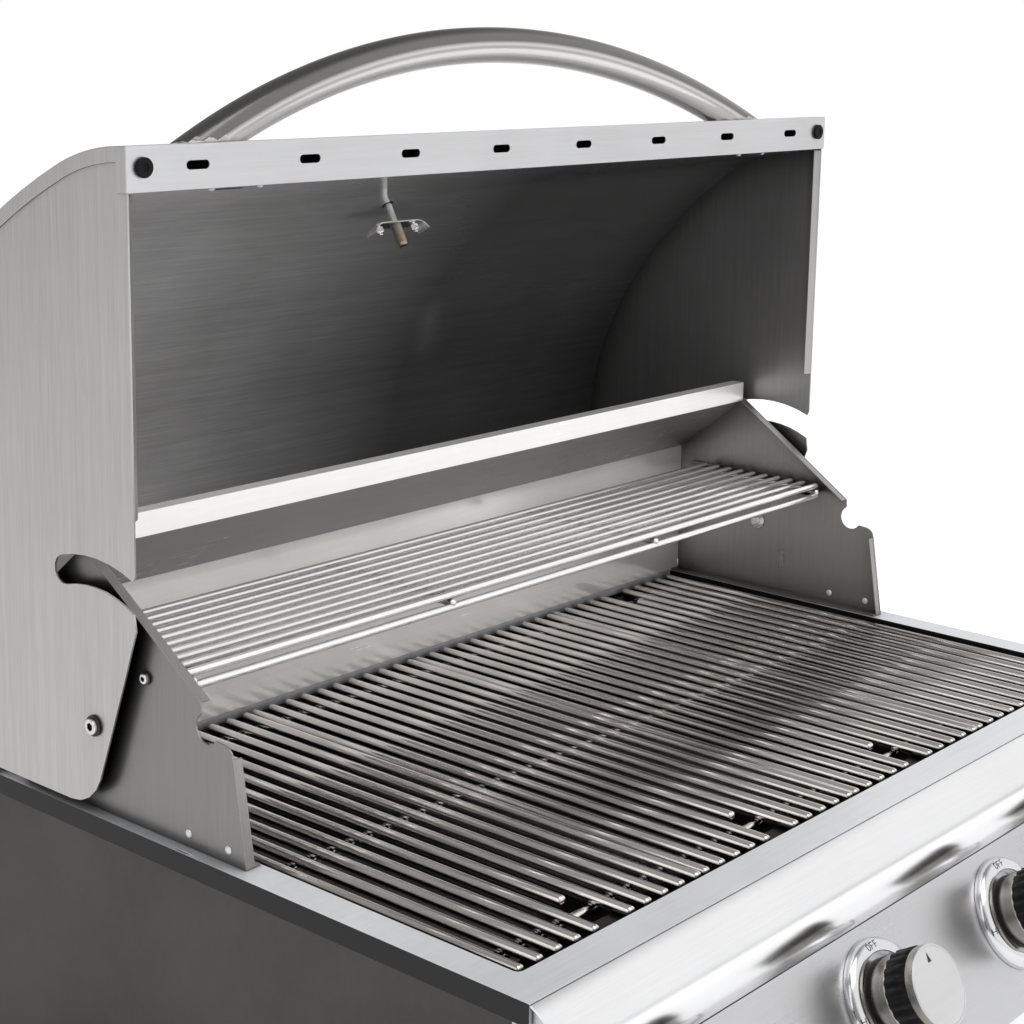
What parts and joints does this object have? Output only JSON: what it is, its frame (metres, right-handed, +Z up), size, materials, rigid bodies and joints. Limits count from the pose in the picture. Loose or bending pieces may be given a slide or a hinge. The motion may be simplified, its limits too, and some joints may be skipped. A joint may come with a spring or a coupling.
{
  "type": "built-in gas grill",
  "caption": "Built-in gas grill head with rod grates, warming rack, rolled hood on hinges, push-and-turn knobs and a grease tray.",
  "frame": {"origin": "centre of the underside of the firebox", "axes": "+Z up, -Y towards the cook, +X to the cook's right; hood open"},
  "size_m": [0.8238, 0.7343, 0.7626],
  "materials": {
    "firebox": "brushed",
    "deck_frame": "polished",
    "rear_baffle": "polished",
    "windshield_left": "brushed",
    "windshield_right": "brushed",
    "hinge_bolt_left": "polished",
    "hinge_bolt_right": "polished",
    "panel_end_cap_left": "brushed",
    "panel_end_cap_right": "brushed",
    "bullnose": "polished",
    "control_panel": "brushed",
    "manifold": "brushed",
    "gas_inlet": "satin",
    "heat_divider_1": "brushed",
    "heat_divider_2": "brushed",
    "heat_divider_3": "brushed",
    "flame_tamer_1": "brushed",
    "burner_1": "matte",
    "bezel_1": "polished",
    "valve_1": "satin",
    "flame_tamer_2": "brushed",
    "burner_2": "matte",
    "bezel_2": "polished",
    "valve_2": "satin",
    "flame_tamer_3": "brushed",
    "burner_3": "matte",
    "bezel_3": "polished",
    "valve_3": "satin",
    "flame_tamer_4": "brushed",
    "burner_4": "matte",
    "bezel_4": "polished",
    "valve_4": "satin",
    "hood_skin": "brushed",
    "hood_liner": "brushed",
    "hood_side_left": "brushed",
    "hood_side_right": "brushed",
    "hood_handle": "brushed",
    "bumper_left": "matte",
    "bumper_right": "matte",
    "thermometer": "polished",
    "thermometer_bracket": "polished",
    "grate_1": "satin",
    "grate_2": "satin",
    "grate_3": "satin",
    "grate_4": "satin",
    "warming_rack": "polished",
    "drip_tray": "brushed",
    "drip_tray_handle": "brushed",
    "valve_stem_1": "brushed",
    "knob_1": "polished",
    "knob_grip_1": "matte",
    "valve_stem_2": "brushed",
    "knob_2": "polished",
    "knob_grip_2": "matte",
    "valve_stem_3": "brushed",
    "knob_3": "polished",
    "knob_grip_3": "matte",
    "valve_stem_4": "brushed",
    "knob_4": "polished",
    "knob_grip_4": "matte"
  },
  "bodies": {
    "frame": {"firebox": "firebox", "deck_frame": "deck_frame", "rear_baffle": "rear_baffle", "windshield_left": "windshield_left", "windshield_right": "windshield_right", "hinge_bolt_left": "hinge_bolt_left", "hinge_bolt_right": "hinge_bolt_right", "panel_end_cap_left": "panel_end_cap_left", "panel_end_cap_right": "panel_end_cap_right", "bullnose": "bullnose", "control_panel": "control_panel", "manifold": "manifold", "gas_inlet": "gas_inlet", "heat_divider_1": "heat_divider_1", "heat_divider_2": "heat_divider_2", "heat_divider_3": "heat_divider_3", "flame_tamer_1": "flame_tamer_1", "burner_1": "burner_1", "bezel_1": "bezel_1", "valve_1": "valve_1", "flame_tamer_2": "flame_tamer_2", "burner_2": "burner_2", "bezel_2": "bezel_2", "valve_2": "valve_2", "flame_tamer_3": "flame_tamer_3", "burner_3": "burner_3", "bezel_3": "bezel_3", "valve_3": "valve_3", "flame_tamer_4": "flame_tamer_4", "burner_4": "burner_4", "bezel_4": "bezel_4", "valve_4": "valve_4"},
    "hood": {"hood_skin": "hood_skin", "hood_liner": "hood_liner", "hood_side_left": "hood_side_left", "hood_side_right": "hood_side_right", "hood_handle": "hood_handle", "bumper_left": "bumper_left", "bumper_right": "bumper_right", "thermometer": "thermometer", "thermometer_bracket": "thermometer_bracket"},
    "grate_1_body": {"grate_1": "grate_1"},
    "grate_2_body": {"grate_2": "grate_2"},
    "grate_3_body": {"grate_3": "grate_3"},
    "grate_4_body": {"grate_4": "grate_4"},
    "rack": {"warming_rack": "warming_rack"},
    "tray": {"drip_tray": "drip_tray", "drip_tray_handle": "drip_tray_handle"},
    "stem_1": {"valve_stem_1": "valve_stem_1"},
    "knob_1_body": {"knob_1": "knob_1", "knob_grip_1": "knob_grip_1"},
    "stem_2": {"valve_stem_2": "valve_stem_2"},
    "knob_2_body": {"knob_2": "knob_2", "knob_grip_2": "knob_grip_2"},
    "stem_3": {"valve_stem_3": "valve_stem_3"},
    "knob_3_body": {"knob_3": "knob_3", "knob_grip_3": "knob_grip_3"},
    "stem_4": {"valve_stem_4": "valve_stem_4"},
    "knob_4_body": {"knob_4": "knob_4", "knob_grip_4": "knob_grip_4"}
  },
  "joints": [
    {"name": "hood_hinge", "type": "hinge", "parent": "frame", "child": "hood", "pos_m": [0, 0.1085, 0.29], "axis": [1, 0, 0], "range_deg": [0, 92]},
    {"name": "grate_1_lift", "type": "slide", "parent": "frame", "child": "grate_1_body", "axis": [0, 0, 1], "range_m": [0, 0.04]},
    {"name": "grate_2_lift", "type": "slide", "parent": "frame", "child": "grate_2_body", "axis": [0, 0, 1], "range_m": [0, 0.04]},
    {"name": "grate_3_lift", "type": "slide", "parent": "frame", "child": "grate_3_body", "axis": [0, 0, 1], "range_m": [0, 0.04]},
    {"name": "grate_4_lift", "type": "slide", "parent": "frame", "child": "grate_4_body", "axis": [0, 0, 1], "range_m": [0, 0.04]},
    {"name": "rack_lift", "type": "slide", "parent": "frame", "child": "rack", "axis": [0, 0, 1], "range_m": [0, 0.025]},
    {"name": "tray_slide", "type": "slide", "parent": "frame", "child": "tray", "axis": [0, -1, 0], "range_m": [0, 0.35]},
    {"name": "knob_1_push", "type": "slide", "parent": "frame", "child": "stem_1", "axis": [0, 0.8599, -0.5105], "range_m": [0, 0.0035], "stiffness_N_per_m": 1200, "springref_m": -0.003},
    {"name": "knob_1_turn", "type": "hinge", "parent": "stem_1", "child": "knob_1_body", "pos_m": [-0.2715, -0.33033, 0.12228], "axis": [0, -0.8599, 0.5105], "range_deg": [0, 225]},
    {"name": "knob_2_push", "type": "slide", "parent": "frame", "child": "stem_2", "axis": [0, 0.8599, -0.5105], "range_m": [0, 0.0035], "stiffness_N_per_m": 1200, "springref_m": -0.003},
    {"name": "knob_2_turn", "type": "hinge", "parent": "stem_2", "child": "knob_2_body", "pos_m": [-0.0905, -0.33033, 0.12228], "axis": [0, -0.8599, 0.5105], "range_deg": [0, 225]},
    {"name": "knob_3_push", "type": "slide", "parent": "frame", "child": "stem_3", "axis": [0, 0.8599, -0.5105], "range_m": [0, 0.0035], "stiffness_N_per_m": 1200, "springref_m": -0.003},
    {"name": "knob_3_turn", "type": "hinge", "parent": "stem_3", "child": "knob_3_body", "pos_m": [0.0905, -0.33033, 0.12228], "axis": [0, -0.8599, 0.5105], "range_deg": [0, 225]},
    {"name": "knob_4_push", "type": "slide", "parent": "frame", "child": "stem_4", "axis": [0, 0.8599, -0.5105], "range_m": [0, 0.0035], "stiffness_N_per_m": 1200, "springref_m": -0.003},
    {"name": "knob_4_turn", "type": "hinge", "parent": "stem_4", "child": "knob_4_body", "pos_m": [0.2715, -0.33033, 0.12228], "axis": [0, -0.8599, 0.5105], "range_deg": [0, 225]}
  ]
}
